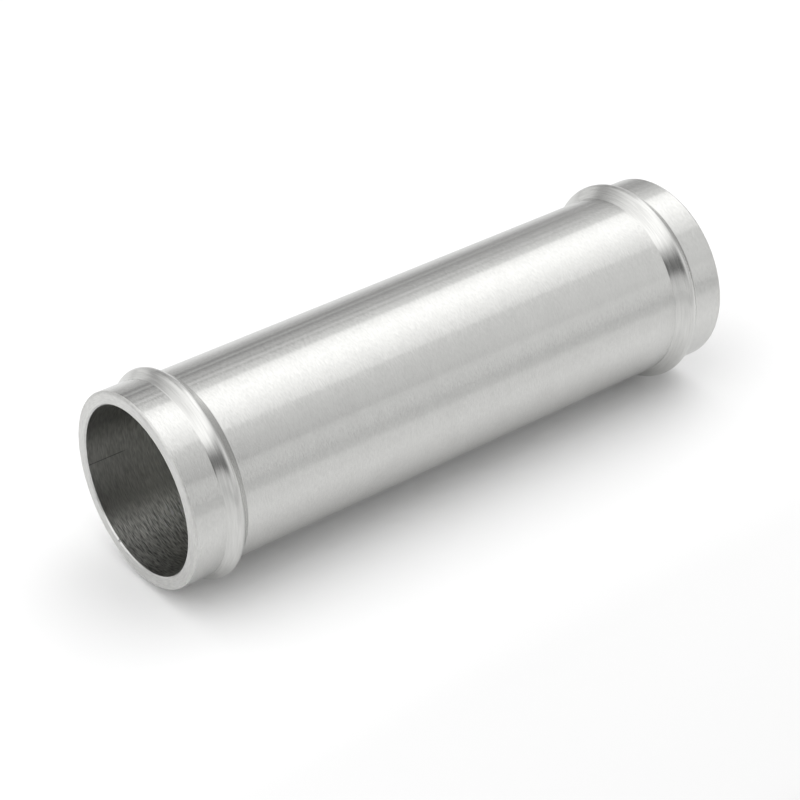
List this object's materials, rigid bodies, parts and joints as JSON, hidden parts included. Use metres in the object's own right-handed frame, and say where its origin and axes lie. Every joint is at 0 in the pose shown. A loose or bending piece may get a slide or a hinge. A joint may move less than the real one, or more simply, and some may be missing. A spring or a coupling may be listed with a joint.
{
  "type": "hose joiner",
  "caption": "Straight turned aluminium hose joiner with a plain through bore, a rounded hose-retaining bead near either end and a long plain middle for the hose clips.",
  "frame": {"origin": "centre of the bottom end face, on the axis of the tube, in the plane on which it stands", "axes": "+Z along the axis of the bore, from the bottom end face to the top one; the tube is round, so X and Y are any two directions square to it"},
  "size_m": [0.0322, 0.0322, 0.1],
  "materials": {
    "turned_aluminium": "fine turned, satin bright"
  },
  "bodies": {
    "root": {"joiner_tube": "turned_aluminium"}
  },
  "joints": []
}
